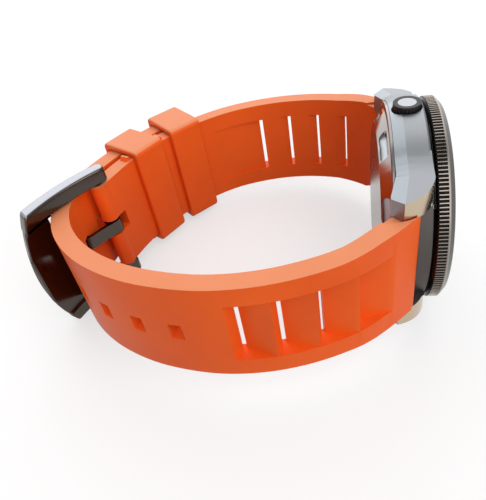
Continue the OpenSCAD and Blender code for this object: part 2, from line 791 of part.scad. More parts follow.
module mainspring() {
  turns = 7;
  r0 = 1.5;
  r1 = barrel_centre * barrel_teeth[0] / (barrel_teeth[0] + barrel_teeth[1]) - 0.75;
  w = 0.16;
  function spiral(off) = [for (k = [0 : turns * 20]) polar(r0 + (r1 - r0) * k / (turns * 20) + off,
    18 * k)];
  color("lightgray") dial_frame() translate([barrel_at[0], barrel_at[1], barrel_bot + 0.22])
    linear_extrude(barrel_h - 0.5) polygon(concat(spiral(-w / 2), reversed(spiral(w / 2))));
}

centre_r = centre_third * centre_teeth[0] / (centre_teeth[0] + centre_teeth[1]);
third_r = centre_third * third_teeth[0] / (third_teeth[0] + third_teeth[1]);
fourth_r = fourth_escape * escape_teeth[0] / (escape_teeth[0] + escape_teeth[1]);
centre_tube = [0.3, 0.55];

module centre_wheel() {
  pinion_r = barrel_centre - barrel_centre * barrel_teeth[0] / (barrel_teeth[0] + barrel_teeth[1]);
  color("goldenrod") dial_frame() {
    difference() {
      rotate(third_dir) gear(centre_r, centre_teeth[0], centre_lvl, wheel_t, centre_tube[0]);
      spokes(1.2, centre_r - 0.7, centre_lvl, wheel_t);
    }
    rotate(barrel_dir + 180 / barrel_teeth[1]) gear(pinion_r, barrel_teeth[1], barrel_top - 0.3, 0.35,
      centre_tube[0]);
    ring(centre_tube[1], centre_tube[0], centre_lvl, motion_lvl);
  }
}

module third_wheel() {
  color("goldenrod") dial_frame() translate(concat(third_at, 0)) {
    difference() {
      rotate(third_dir + 180) gear(third_r, third_teeth[0], third_lvl, wheel_t, arbor_r);
      spokes(1, third_r - 0.7, third_lvl, wheel_t);
    }
    rotate(third_dir + 180 + 180 / centre_teeth[1])
      gear(centre_third - centre_r, centre_teeth[1], third_lvl + wheel_t,
        centre_lvl + wheel_t - third_lvl - wheel_t, arbor_r);
    disc(arbor_r, bridge_top - jewel_t + 0.05, plate_bot + jewel_t - 0.05, $fn = 24);
  }
}

module fourth_wheel() {
  color("goldenrod") dial_frame() {
    difference() {
      rotate(escape_dir) gear(fourth_r, escape_teeth[0], fourth_lvl, wheel_t, arbor_r);
      spokes(1, fourth_r - 0.7, fourth_lvl, wheel_t);
    }
    rotate(third_dir + 180 / third_teeth[1])
      gear(centre_third - third_r, third_teeth[1], fourth_lvl + wheel_t, third_lvl - fourth_lvl, arbor_r);
    disc(arbor_r, bridge_top - jewel_t + 0.05, hour_hand_w + 2 * hand_step);
  }
}

module escape_wheel() {
  color("silver") dial_frame() translate(concat(escape_at, 0)) {
    translate([0, 0, escape_lvl]) linear_extrude(wheel_t) difference() {
      polygon([for (i = [0 : 14]) for (k = [[0, 0.78], [5, 0.8], [11, 1], [13, 0.98], [14, 0.78]])
        polar(escape_r * k[1], 24 * i + k[0])]);
      for (i = [0 : 3]) rotate(90 * i) translate([0.95, 0]) circle(r = 0.42, $fn = 24);
    }
    rotate(escape_dir + 180 + 180 / escape_teeth[1])
      gear(fourth_escape - fourth_r, escape_teeth[1], fourth_lvl - 0.05, 0.35, arbor_r);
    disc(arbor_r, bridge_top - jewel_t + 0.05, plate_bot + jewel_t - 0.05, $fn = 24);
  }
}

module pallet_fork() {
  lvl = escape_lvl - 0.05;
  color("silver") dial_frame() translate([pallet_at[0], pallet_at[1], 0]) {
    disc(0.4, lvl, lvl + wheel_t, $fn = 24);
    translate([0, 0, lvl]) linear_extrude(wheel_t)
      polygon([[-1.5, 0.1], [-1.35, 0.4], [0, 0.22], [1.35, 0.4], [1.5, 0.1], [0, -0.22]]);
    translate([-0.13, -1.6, lvl]) cube([0.26, 1.6, wheel_t]);
    translate([-0.33, -1.7, lvl]) cube([0.66, 0.16, wheel_t]);
    for (m = [-1, 1]) translate([m * 0.25 - 0.08, -2, lvl]) cube([0.16, 0.4, wheel_t]);
    disc(arbor_r, pallet_bridge_bot, plate_bot + jewel_t - 0.05, $fn = 24);
  }
}

module balance_wheel() {
  rim_h = 0.4;
  color("goldenrod") dial_frame() translate([balance_at[0], balance_at[1], 0]) {
    ring(balance_r, balance_r - 0.45, balance_lvl - rim_h, balance_lvl);
    for (a = [0, 60, 120]) rotate(a) translate([-balance_r + 0.3, -0.2, balance_lvl - 0.3])
      cube([2 * balance_r - 0.6, 0.4, 0.2]);
    disc(0.5, balance_lvl - 0.4, balance_lvl);
    disc(arbor_r, bridge_top - jewel_t + 0.05, plate_bot + jewel_t - 0.05, $fn = 24);
    disc(0.4, escape_lvl - 0.35, escape_lvl - 0.15, $fn = 24);
  }
}

module hairspring() {
  turns = 6;
  r0 = 0.5;
  r1 = 1.8;
  w = 0.07;
  function spiral(off) = [for (k = [0 : turns * 20]) polar(r0 + (r1 - r0) * k / (turns * 20) + off,
    18 * k)];
  color("steelblue") dial_frame() translate([balance_at[0], balance_at[1], balance_lvl - 0.7])
    linear_extrude(0.15) polygon(concat(spiral(-w / 2), reversed(spiral(w / 2))));
}

module cannon_pinion() {
  r = motion_dist * cannon_teeth[0] / (cannon_teeth[0] + cannon_teeth[1]);
  color("silver") dial_frame() {
    rotate(minute_dir) gear(r, cannon_teeth[0], motion_lvl, 0.3, centre_tube[0]);
    ring(0.45, centre_tube[0], motion_lvl + 0.3, hour_hand_w + hand_step);
  }
}

module minute_wheel() {
  r = motion_dist * cannon_teeth[1] / (cannon_teeth[0] + cannon_teeth[1]);
  p = motion_dist * hour_teeth[0] / (hour_teeth[0] + hour_teeth[1]);
  color("goldenrod") dial_frame() translate([minute_at[0], minute_at[1], 0]) {
    rotate(minute_dir + 180 + 180 / cannon_teeth[1]) gear(r, cannon_teeth[1], motion_lvl + 0.02,
      wheel_t, 0.18);
    rotate(minute_dir + 180) gear(p, hour_teeth[0], motion_lvl + wheel_t + 0.02, hour_lvl - motion_lvl,
      0.18);
    disc(0.18, plate_bot + 0.3, hour_lvl + 0.25);
  }
}

module hour_wheel() {
  r = motion_dist * hour_teeth[1] / (hour_teeth[0] + hour_teeth[1]);
  color("goldenrod") dial_frame() {
    rotate(minute_dir + 180 / hour_teeth[1]) gear(r, hour_teeth[1], hour_lvl, wheel_t, 0.5);
    ring(0.75, 0.5, hour_lvl, hour_hand_w);
  }
}

rotor_post_r = 1.1;
rotor_hub_r = 2.2;

module rotor_bearing() {
  color("silver") dial_frame() {
    disc(rotor_post_r - close_gap, rotor_bot - 0.1, bridge_bot + 0.3);
    disc(1.6, rotor_bot - 0.12, rotor_bot - 0.04);
  }
}

module rotor() {
  rim_r = movement_r - 0.2;
  color("silver") dial_frame() difference() {
    union() {
      intersection() {
        disc(rim_r, rotor_bot, rotor_bot + rotor_t);
        translate([-20, -20, rotor_bot - 1]) cube([40, 20, 3]);
      }
      disc(rotor_hub_r, rotor_bot, rotor_bot + rotor_t);
    }
    disc(rotor_post_r + run_gap, rotor_bot - 1, rotor_bot + 2);
    for (a = [-140, -90, -40]) rotate(a) translate([6.6, 0, rotor_bot - 1]) cylinder(r = 1.7, h = 3,
      $fn = 32);
  }
}

// Dial side
module dial() {
  color("#1a1c20") dial_frame() ring(dial_r, 0.85, dial_bot, dial_top);
}

marker_h = 0.25;
marker_at = opening_r - 3.1;

module dial_markers() {
  color("white") dial_frame() translate([0, 0, dial_top]) for (i = [0 : 11]) rotate(-30 * i)
    translate([0, marker_at, 0]) {
      if (i == 0) linear_extrude(marker_h) polygon([[-1.3, 1.1], [1.3, 1.1], [0, -1.4]]);
      else if (i % 3 == 0) translate([-0.5, -1.3, 0]) cube([1, 2.4, marker_h]);
      else cylinder(r = 0.85, h = marker_h, $fn = 32);
    }
}

module chapter_ring() {
  color("#26282c") dial_frame() rotate_extrude($fn = 120) polygon([
    [opening_r - close_gap, dial_top], [opening_r - close_gap, crystal_bot - 0.15],
    [opening_r - 0.5, crystal_bot - 0.15],
    [opening_r - 1.6, dial_top + 0.15], [opening_r - 1.6, dial_top]]);
}

module hand(reach, w, bore, wide) {
  difference() {
    union() {
      disc(bore + 0.75, w, w + hand_t, $fn = 40);
      translate([0, 0, w]) linear_extrude(hand_t) polygon([[-wide * 0.4, 0], [-wide, reach * 0.72],
        [0, reach],
        [wide, reach * 0.72], [wide * 0.4, 0]]);
    }
    disc(bore, w - 1, w + 1, $fn = 40);
  }
}

hour_turn = -305;
minute_turn = -60;
seconds_turn = -180;

module hour_hand() {
  color("white") dial_frame() rotate(hour_turn) hand(7.4, hour_hand_w - hand_t, 0.75, 0.9);
}

module minute_hand() {
  color("white") dial_frame() rotate(minute_turn) hand(11.2, hour_hand_w + hand_step - hand_t, 0.45, 0.75);
}

module seconds_hand() {
  w0 = hour_hand_w + 2 * hand_step - hand_t;
  color("white") dial_frame() rotate(seconds_turn) difference() {
    union() {
      disc(0.8, w0, w0 + hand_t, $fn = 40);
      translate([0, 0, w0]) linear_extrude(hand_t) polygon([[-0.22, -3.4], [-0.1, 12], [0.1, 12],
        [0.22, -3.4]]);
      translate([0, 8, w0]) cylinder(r = 0.6, h = hand_t, $fn = 32);
    }
    disc(arbor_r, w0 - 1, w0 + 1, $fn = 24);
  }
}

// Strap, drawn in the plane of the loop with its width along z
spring_tip_end = lug_gap / 2 + 1.3;
boss_r = 1.75;

module spring_bar(y) {
  color("silver") stood() translate([spring_bar_x, y, 0]) {
    cylinder(r = spring_bar_r, h = strap_w - 1.4, center = true, $fn = 32);
    cylinder(r = spring_tip_r, h = 2 * spring_tip_end, center = true, $fn = 32);
  }
}

module spring_bar_12() { spring_bar(-spring_bar_at); }
module spring_bar_6() { spring_bar(spring_bar_at); }

// Cut of one row of vents: sloping pockets on the outer side and on the inner side, and slots between
function ramp(c, sl, s0, s1, n0, n1, k) = let (t = k / 6, s = s0 + (s1 - s0) * t)
  point_at(c, sl, s) + left(dir_at(c, sl, s)) * (n0 + (n1 - n0) * t);
module wedge(c, sl, s0, s1, n0, n1, nmax) {
  polygon(concat([for (k = [0 : 6]) ramp(c, sl, s0, s1, n0, n1, k)], [for (k = [6 : -1 : 0]) ramp(c,
    sl, s0, s1, nmax, nmax, k)]));
}

// Each vent slopes down to a slot from the outer side, with a short wall behind it, and opens to the
// inner side by a shallow slope. Out is the sign of the outer side on the curve's left
vent_wall = 1.1;
inner_slope = 2.4;
inner_deep = 0.8;

module vents(c, sl, first, t, out, last_slope) {
  for (i = [0 : vent_count - 1]) {
    s = first + vent_pitch * i;
    near = s - vent_gap / 2;
    far = s + vent_gap / 2;
    wedge(c, sl, near, far, -out * t, -out * t, out * t);
    wedge(c, sl, far - vent_pitch + vent_wall, s, out * t / 2, out * (blade_t - t / 2), out * t);
    wedge(c, sl, s, far + vent_wall, out * (inner_deep / 2 - t / 2), out * t / 2, out * t);
    wedge(c, sl, s, far + (i == vent_count - 1 ? last_slope : inner_slope), out * (inner_deep - t / 2),
      -out * t / 2, -out * t);
  }
}

module pin_hole(s) {
  p = point_at(tail_curve, tail_len, s);
  translate([p[0], p[1], 0]) rotate(angle_of(dir_at(tail_curve, tail_len, s)))
    cube([hole_len, 3 * tail_t, hole_w], center = true);
}

module lug_end(y) {
  translate([spring_bar_x, y, 0]) cylinder(r = boss_r, h = strap_w, center = true, $fn = 48);
}

// The flat sheet of a strap half, a little wider where it leaves the lugs
module strap_body(c, t) {
  wide = strap_w / 2 + strap_flare;
  difference() {
    intersection() {
      linear_extrude(2 * wide, center = true) polygon(ribbon(c, t / 2, -t / 2));
      rotate([90, 0, 0]) linear_extrude(300, center = true) polygon([[-200, strap_w / 2],
        [-16, strap_w / 2], [-10, wide],
        [20, wide], [20, -wide], [-10, -wide], [-16, -strap_w / 2], [-200, -strap_w / 2]]);
    }
    for (m = [0, 1]) mirror([0, 0, m]) for (y = [-lug_round_at[0], lug_round_at[0]])
      translate([lug_round_at[1], y, strap_w / 2]) cylinder(r = lug_curve_r + 0.2, h = 10);
  }
}

module lug_bore(y) {
  translate([spring_bar_x, y, 0]) cylinder(r = spring_bar_r + close_gap, h = 3 * strap_w,
    center = true, $fn = 32);
}

module caseback_relief() {
  along_u() disc(caseback_d / 2 + soft_gap, back_face - 1, case_bot + 0.1);
}

hole_first = -2;
hole_last = 5;

module tail_tip_cut() {
  s = tail_len[len(tail_len) - 1];
  p = point_at(tail_curve, tail_len, s - strap_w * 0.32);
  r = strap_w * 0.56;
  translate([p[0], p[1], 0]) rotate(angle_of(dir_at(tail_curve, tail_len, s - strap_w * 0.32)))
    difference() {
    translate([0, -tail_t * 2, -strap_w]) cube([strap_w, 4 * tail_t, 2 * strap_w]);
    translate([-strap_w * 0.24, 0, 0]) rotate([90, 0, 0]) cylinder(r = r, h = 10 * tail_t, center = true);
  }
}

module strap_tail_half() {
  color("orangered") stood() difference() {
    union() {
      strap_body(tail_curve, tail_t);
      lug_end(-spring_bar_at);
    }
    linear_extrude(vent_h, center = true) vents(tail_curve, tail_len, first_vent_tail, tail_t, 1,
      inner_slope);
    for (i = [hole_first : hole_last]) pin_hole(engaged_at - hole_pitch * i);
    lug_bore(-spring_bar_at);
    caseback_relief();
    tail_tip_cut();
  }
}

module at_half(s) {
  p = point_at(half_curve, half_len, s);
  translate([p[0], p[1], 0]) rotate(angle_of(dir_at(half_curve, half_len, s))) children();
}

module edge_bump(s) {
  at_half(s) for (m = [0, 1]) mirror([0, 0, m]) translate([0, 0, strap_w / 2]) rotate([90, 0, 0])
    linear_extrude(2, center = true) polygon([[-bump_len / 2, -1], [-bump_len / 2, 0],
      [-bump_len / 2 + 0.5, bump_h],
      [bump_len / 2 - 0.5, bump_h], [bump_len / 2, 0], [bump_len / 2, -1]]);
}

bar_boss_r = bar_d / 2 + 1;
tongue_slot = tongue_w + 1;

module strap_buckle_half() {
  color("orangered") stood() difference() {
    union() {
      strap_body(half_curve, buckle_half_t);
      lug_end(spring_bar_at);
      translate([buckle_bar_at[0], buckle_bar_at[1], 0]) cylinder(r = bar_boss_r, h = strap_w,
        center = true, $fn = 48);
      for (s = [fixed_keeper_s + keeper_len / 2 + bump_len / 2 + 0.15,
        fixed_keeper_s - keeper_len / 2 - bump_len / 2 - 0.15])
        edge_bump(s);
    }
    linear_extrude(vent_h, center = true) vents(half_curve, half_len, first_vent_half, buckle_half_t, -1,
      sliding_keeper_s - keeper_len / 2 - 1 - first_vent_half - 3 * vent_pitch);
    lug_bore(spring_bar_at);
    caseback_relief();
    translate([buckle_bar_at[0], buckle_bar_at[1], 0]) cylinder(r = bar_d / 2 + close_gap,
      h = 3 * strap_w, center = true, $fn = 32);
    at_half(half_end) cube([6.4, 4 * buckle_half_t, tongue_slot], center = true);
  }
}

// A keeper is a rounded ring around both layers of strap
module keeper(s) {
  inner = buckle_half_t / 2 + soft_gap;
  outer = lap_off + tail_t / 2 + soft_gap;
  depth = inner + outer;
  height = strap_w + 2 * soft_gap;
  round_r = 1.3;
  at_half(s) rotate([0, 90, 0]) rotate([0, 0, 90]) linear_extrude(keeper_len, center = true) difference() {
    translate([(inner - outer) / 2, 0]) rounded(depth + 2 * keeper_wall, height + 2 * keeper_wall, round_r);
    translate([(inner - outer) / 2, 0]) square([depth, height], center = true);
  }
}

module rounded(a, b, r) {
  square([a - 2 * r, b], center = true);
  square([a, b - 2 * r], center = true);
  for (i = [-1, 1]) for (j = [-1, 1]) translate([i * (a / 2 - r), j * (b / 2 - r)]) circle(r = r, $fn = 24);
}

module fixed_keeper() { color("orangered") stood() keeper(fixed_keeper_s); }
module sliding_keeper() { color("orangered") stood() keeper(sliding_keeper_s); }

// Buckle
module at_bar() {
  stood() translate([buckle_bar_at[0], buckle_bar_at[1], 0]) rotate(buckle_turn) mirror([0, 1, 0])
    children();
}

module buckle_bar() {
  color("dimgray") at_bar() cylinder(r = bar_d / 2, h = 2 * arm_z1 - 1.6, center = true, $fn = 32);
}

// Sector of the curved frame between two places along p
module frame_sector(p0, p1, t, z0, z1) {
  a0 = p0 / buckle_r * 180 / PI;
  a1 = p1 / buckle_r * 180 / PI;
  translate([0, -buckle_r, z0]) rotate(90 - a1) rotate_extrude(angle = a1 - a0, $fn = 360)
    translate([buckle_r - t / 2, 0]) square([t, z1 - z0]);
}

// Takes the corners off the arms' rear ends
module arm_end_cut() {
  at = arm_t / 2 - bar_behind;
  difference() {
    translate([at - 5, -arm_t, -buckle_w]) cube([5, 2 * arm_t, 2 * buckle_w]);
    translate([at, 0, 0]) cylinder(r = arm_t / 2 + 0.2, h = 3 * buckle_w, center = true, $fn = 48);
  }
}

// Rounds the free edge
module free_edge_cut() {
  difference() {
    translate([buckle_len - 8, -buckle_len, -buckle_w]) cube([20, 2 * buckle_len, 2 * buckle_w]);
    translate([buckle_len - free_edge_r, 0, 0]) rotate([90, 0, 0])
      cylinder(r = free_edge_r, h = 6 * buckle_len, center = true, $fn = 180);
  }
}

module buckle_frame() {
  color("dimgray") at_bar() difference() {
    union() {
      for (m = [0, 1]) mirror([0, 0, m])
        frame_sector(-bar_behind - 1, buckle_len + 1, arm_t, arm_z0, arm_z1);
      frame_sector(crossbar_from, buckle_len + 0.8, crossbar_t, -arm_z1 + 0.6, arm_z1 - 0.6);
    }
    cylinder(r = bar_d / 2 + close_gap, h = 2 * arm_z1 - 1.6, center = true, $fn = 32);
    arm_end_cut();
    free_edge_cut();
  }
}

tongue_line = [[0.4, -1.45], [4, -1.65], [6.5, -2], [8.6, -0.85], [10.2, 0.6], [12.4, 0.35], [16.6, -0.95]];

module buckle_tongue() {
  color("gray") at_bar() difference() {
    union() {
      cylinder(r = bar_d / 2 + run_gap + tongue_t, h = tongue_w, center = true, $fn = 40);
      linear_extrude(tongue_w, center = true) polygon(ribbon(tongue_line, tongue_t / 2, -tongue_t / 2));
    }
    cylinder(r = bar_d / 2 + close_gap, h = 2 * tongue_w, center = true, $fn = 32);
  }
}

mid_case();
caseback();
caseback_gasket();
crystal();
crystal_gasket();
bezel_click_spring();
bezel_gasket();
bezel_ring();
bezel_insert();
bezel_pip();
crown_tube();
crown();
crown_cap();
crown_gasket();
winding_stem();
winding_pinion();
sliding_pinion();
crown_wheel();
ratchet_wheel();
ratchet_click();
movement_holder();
main_plate();
barrel_bridge();
train_bridge();
balance_cock();
pallet_bridge();
bridge_screws();
jewels();
barrel();
mainspring();
centre_wheel();
third_wheel();
fourth_wheel();
escape_wheel();
pallet_fork();
balance_wheel();
hairspring();
cannon_pinion();
minute_wheel();
hour_wheel();
rotor();
rotor_bearing();
dial();
dial_markers();
chapter_ring();
hour_hand();
minute_hand();
seconds_hand();
spring_bar_12();
spring_bar_6();
strap_tail_half();
strap_buckle_half();
fixed_keeper();
sliding_keeper();
buckle_bar();
buckle_frame();
buckle_tongue();
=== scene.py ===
# %% [markdown]
# # Dive watch on a vented rubber strap
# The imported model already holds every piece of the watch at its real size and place.
# This lesson dresses it: soft edges on what the hand touches, a finish for every piece,
# the marks that are only printed on the real watch, and a small white studio around it.
# The watch could be modelled anew, but copies of the solids keep its size and its joints.

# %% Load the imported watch
import json
import math

import bmesh
import bpy
from mathutils import Matrix, Vector


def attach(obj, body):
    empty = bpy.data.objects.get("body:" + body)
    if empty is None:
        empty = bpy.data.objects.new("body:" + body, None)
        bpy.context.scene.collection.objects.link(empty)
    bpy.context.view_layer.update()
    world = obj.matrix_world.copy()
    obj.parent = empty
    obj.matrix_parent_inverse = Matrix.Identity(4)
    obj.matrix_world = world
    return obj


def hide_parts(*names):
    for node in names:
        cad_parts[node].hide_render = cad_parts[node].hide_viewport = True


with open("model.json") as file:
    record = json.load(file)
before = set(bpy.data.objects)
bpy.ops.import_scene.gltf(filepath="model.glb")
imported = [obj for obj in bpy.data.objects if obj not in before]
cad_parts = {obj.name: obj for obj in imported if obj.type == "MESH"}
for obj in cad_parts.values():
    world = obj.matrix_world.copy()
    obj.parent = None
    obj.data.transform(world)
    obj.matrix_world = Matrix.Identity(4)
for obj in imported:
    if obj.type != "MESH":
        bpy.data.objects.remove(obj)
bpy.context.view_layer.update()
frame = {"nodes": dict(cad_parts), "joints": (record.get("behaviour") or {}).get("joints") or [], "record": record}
nodes = frame["nodes"]
MM = 0.001

# %% [markdown]
# ## The watch's own axes
# The watch stands on its edge, a little tilted, so straight lines on it don't follow X, Y and Z.
# The tilt could be measured by hand, but the joints know the way: the bezel turns about the
# dial's axis, and the crown about the line to 3 o'clock. From these two come the dial's frame,
# in which the marks are laid out flat.

# %% Dial frame from the joints
joints = {j["name"]: j for j in frame["joints"]}
to_front = Vector(joints["bezel_turn"]["axis"]).normalized()
to_three = Vector(joints["crown_turn"]["axis"]).normalized()
to_twelve = to_front.cross(to_three)
BEZEL_JOINT_LEVEL = 1
dial_middle = Vector(joints["bezel_turn"]["pos_m"]) - to_front * BEZEL_JOINT_LEVEL * MM
dial_frame = Matrix((to_three, to_twelve, to_front)).transposed().to_4x4()
dial_frame.translation = dial_middle
dial_back = dial_frame.inverted()
dial_turn = dial_frame.to_euler()


def on_dial(three, twelve, front):
    """A point given in mm in the dial's frame, whose zero is the bezel's rear edge."""
    return dial_frame @ (Vector((three, twelve, front)) * MM)


print("dial axis", [round(c, 3) for c in to_front], "3 o'clock", [round(c, 3) for c in to_three])

# %% [markdown]
# ## Camera
# The photograph looks down past the crown into the loop of the strap, from close by, so near
# pieces look large. A camera can be turned by angles, but a place, a target and a small roll are
# easier to read. They are given in the dial's frame, so they keep their sense if the watch tilts.

# %% Camera
camera_at = on_dial(66.43, 90.44, -16.04)
camera_target = on_dial(0, 14.5, -35.7)
CAMERA_ROLL = 5.51
LONG_SIDE, FOCAL_PX = 500, 509.4

camera_data = bpy.data.cameras.new("camera")
camera_data.sensor_width = 36
camera_data.lens = FOCAL_PX / LONG_SIDE * camera_data.sensor_width
camera_data.clip_start, camera_data.clip_end = 0.005, 20
camera = bpy.data.objects.new("camera", camera_data)
bpy.context.scene.collection.objects.link(camera)
look = (camera_target - camera_at).to_track_quat("-Z", "Y").to_matrix().to_4x4()
roll = Matrix.Rotation(math.radians(-CAMERA_ROLL), 4, "Z")
camera.matrix_world = Matrix.Translation(camera_at) @ look @ roll
bpy.context.scene.camera = camera
print("camera lens", round(camera_data.lens, 2), "mm")

# %% [markdown]
# ## Pieces that ride on the watch
# On the real watch every piece is carried by another: marks turn with the bezel, a keeper slides
# on the strap. So each new piece is given the body that carries it and its finish, and the solids
# it stands for are hidden. One function does all of it, so nothing is forgotten.

# %% Make a piece
SMOOTH_BELOW = 30


def add_piece(name, shape, body, finish, stands_for=()):
    """Turns a bmesh into an object that rides on a body of the watch."""
    mesh = bpy.data.meshes.new(name)
    shape.to_mesh(mesh)
    shape.free()
    mesh.shade_smooth()
    mesh.set_sharp_from_angle(angle=math.radians(SMOOTH_BELOW))
    mesh.materials.append(finish.material)
    piece = bpy.data.objects.new(name, mesh)
    bpy.context.scene.collection.objects.link(piece)
    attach(piece, body)
    if stands_for:
        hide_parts(*stands_for)
    return piece


def body_of_node(node):
    """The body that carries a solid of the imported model."""
    bodies = frame["record"]["behaviour"]["bodies"]
    return next(body for body, members in bodies.items() if node in members)


def slot_of_node(node):
    """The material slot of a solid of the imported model."""
    return next(s["material_slot"] for s in frame["record"]["subparts"] if s["node"] == node)


# %% [markdown]
# ## Short ways to wire nodes
# A finish is a shader with a few texture nodes in front of it. These could be wired by hand in
# the shader editor. In a script the same wiring repeats, so it gets four small functions: feed a
# socket, add a node, do a sum, and change the range of a value.

# %% Node helpers
def feed(tree, socket, value):
    """Links a socket to another node's output, or sets it to a plain value."""
    if isinstance(value, bpy.types.NodeSocket):
        tree.links.new(value, socket)
    else:
        socket.default_value = value


def add_node(tree, kind, **inputs):
    """A new shader node, with its inputs fed by name."""
    made = tree.nodes.new("ShaderNode" + kind)
    for socket, value in inputs.items():
        feed(tree, made.inputs[socket], value)
    return made


def maths(tree, operation, *values):
    """The result of a Math node."""
    made = add_node(tree, "Math")
    made.operation = operation
    for socket, value in zip(made.inputs, values):
        feed(tree, socket, value)
    return made.outputs[0]


def map_range(tree, value, start, end, low, high):
    """A value that goes from start to end, made to go from low to high."""
    made = add_node(tree, "MapRange", Value=value)
    ends = {"From Min": start, "From Max": end, "To Min": low, "To Max": high}
    for socket, number in ends.items():
        feed(tree, made.inputs[socket], number)
    return made.outputs["Result"]


print("node helpers ready for Blender", bpy.app.version_string)

# %% [markdown]
# ## What all finishes share
# Rubber, steel and lacquer differ in colour, gloss and grain, and yet all are one Principled
# shader fed by noise. A class keeps the shader and offers the steps that the finishes share:
# a place on the piece, a noise there, a colour ramp and a bump. The place is always read from
# Object coordinates, so a pattern stays on its piece when the piece moves.

# %% The finish class
NOISE_ROUGHNESS = 0.55


class Finish:
    """A material with a Principled shader, and short ways to add what feeds it."""

    def __init__(self, name, colour, roughness, metallic=0.0):
        self.material = bpy.data.materials.new(name)
        self.material.use_nodes = True
        self.tree = self.material.node_tree
        self.shader = self.tree.nodes["Principled BSDF"]
        self.put("Base Color", (*colour, 1))
        self.put("Roughness", roughness)
        self.put("Metallic", metallic)

    def put(self, socket, value):
        """Sets a socket of the shader, or links a node to it."""
        feed(self.tree, self.shader.inputs[socket], value)

    def place(self, scale=(1, 1, 1), turn=(0, 0, 0), shift=(0, 0, 0)):
        """Object coordinates, brought into a turned and shifted frame."""
        mapping = add_node(self.tree, "Mapping")
        mapping.vector_type = "TEXTURE"
        coordinates = add_node(self.tree, "TexCoord").outputs["Object"]
        settings = {"Vector": coordinates, "Location": shift, "Rotation": turn, "Scale": scale}
        for socket, value in settings.items():
            feed(self.tree, mapping.inputs[socket], value)
        return mapping.outputs["Vector"]

    def noise(self, where, scale, detail=3.0):
        """Noise between 0 and 1, with a scale in features per metre."""
        made = add_node(self.tree, "TexNoise", Vector=where, Scale=scale, Detail=detail,
                        Roughness=NOISE_ROUGHNESS)
        return made.outputs["Fac"]

    def ramp(self, factor, stops):
        """A colour that changes along a list of stops."""
        made = add_node(self.tree, "ValToRGB", Fac=factor)
        elements = made.color_ramp.elements
        while len(elements) < len(stops):
            elements.new(0.5)
        for element, (at, colour) in zip(elements, stops):
            element.position = at
            element.color = (*colour, 1)
        return made.outputs["Color"]

    def bump(self, height, strength, depth):
        """A fine relief, with its depth in mm."""
        made = add_node(self.tree, "Bump", Height=height, Strength=strength, Distance=depth * MM)
        self.put("Normal", made.outputs["Normal"])


print("finish class ready")

# %% [markdown]
# ## Orange rubber
# The strap is moulded rubber with a satin skin. Up close it has a very fine grain, and its
# colour drifts a little along the strap. A plain orange would look like paint, so one noise of
# tenths of a millimetre makes the grain and a wide one makes the drift. The narrow sides get a
# paler, more matt orange of their own, which is a painted highlight of the light from above.

# %% Rubber finishes
RUBBER_GRAIN, RUBBER_DRIFT, GRAIN_SPREAD = 4200, 55, 0.07


def moulded_rubber(name, dull, bright, rough):
    """Satin rubber whose colour drifts between two oranges."""
    finish = Finish(name, dull, rough)
    grain = finish.noise(finish.place(), RUBBER_GRAIN, 2)
    drift = finish.noise(finish.place(), RUBBER_DRIFT, 4)
    gloss = map_range(finish.tree, grain, 0, 1, rough - GRAIN_SPREAD, rough + GRAIN_SPREAD)
    finish.put("Base Color", finish.ramp(drift, [(0.3, dull), (0.7, bright)]))
    finish.put("Roughness", gloss)
    finish.bump(grain, 0.25, 0.05)
    finish.put("Specular IOR Level", 0.16)
    return finish


strap_rubber = moulded_rubber("orange_rubber", (0.79, 0.1, 0.01), (0.87, 0.12, 0.013), 0.42)
# The paler, more matt orange of the narrow sides is a painted highlight.
rubber_painted_highlight = moulded_rubber("orange_rubber_painted_highlight", (0.72, 0.235, 0.105), (0.76, 0.255, 0.118), 0.5)
print("rubber:", strap_rubber.material.name, rubber_painted_highlight.material.name)

# %% [markdown]
# ## Grain of worked steel
# Steel shows how it was worked. Turned pieces are brushed in circles about the dial's axis, and
# plates and the buckle in straight lines. A picture of scratches would need unwrapping, so the
# grain is a noise. In circles, it changes quickly with the distance from the axis and along it,
# and not around it. In lines, it is squeezed in one direction.

# %% Steel grain
RING_GRAIN, LINE_GRAIN, ALONG_LINE = 2600, 3000, 60


def radius_and_level(finish):
    """Distance from the dial's axis, and height along it."""
    where = finish.place(turn=dial_turn, shift=dial_middle)
    three, twelve, front = add_node(finish.tree, "SeparateXYZ", Vector=where).outputs
    squares = [maths(finish.tree, "MULTIPLY", part, part) for part in (three, twelve)]
    return maths(finish.tree, "SQRT", maths(finish.tree, "ADD", *squares)), front


def circular_grain(finish):
    """Noise in rings about the dial's axis."""
    radius, level = radius_and_level(finish)
    rings = add_node(finish.tree, "CombineXYZ", X=radius, Y=level).outputs[0]
    return finish.noise(rings, RING_GRAIN, 2)


def straight_grain(finish):
    """Noise drawn out along the line to 12 o'clock."""
    drawn_out = (1, LINE_GRAIN / ALONG_LINE, 1)
    return finish.noise(finish.place(drawn_out, dial_turn, dial_middle), LINE_GRAIN, 2)


print("grain per metre: rings", RING_GRAIN, "lines", LINE_GRAIN)

# %% [markdown]
# ## Metals
# The case is brushed steel, the bezel and the buckle are gunmetal, and the movement is nickel
# and gilt brass. One steel for all would be quicker, but on the real watch each surface has its
# own tone and gloss, and these set the pieces apart.

# %% Metal finishes
def metal(name, colour, roughness, grain=None, spread=0.1):
    """A metal, with a grain that varies its gloss by a spread to both sides."""
    finish = Finish(name, colour, roughness, 1)
    if grain:
        lines = grain(finish)
        gloss = map_range(finish.tree, lines, 0, 1, roughness - spread, roughness + spread)
        finish.put("Roughness", gloss)
        finish.bump(lines, 0.25, 0.01)
    return finish


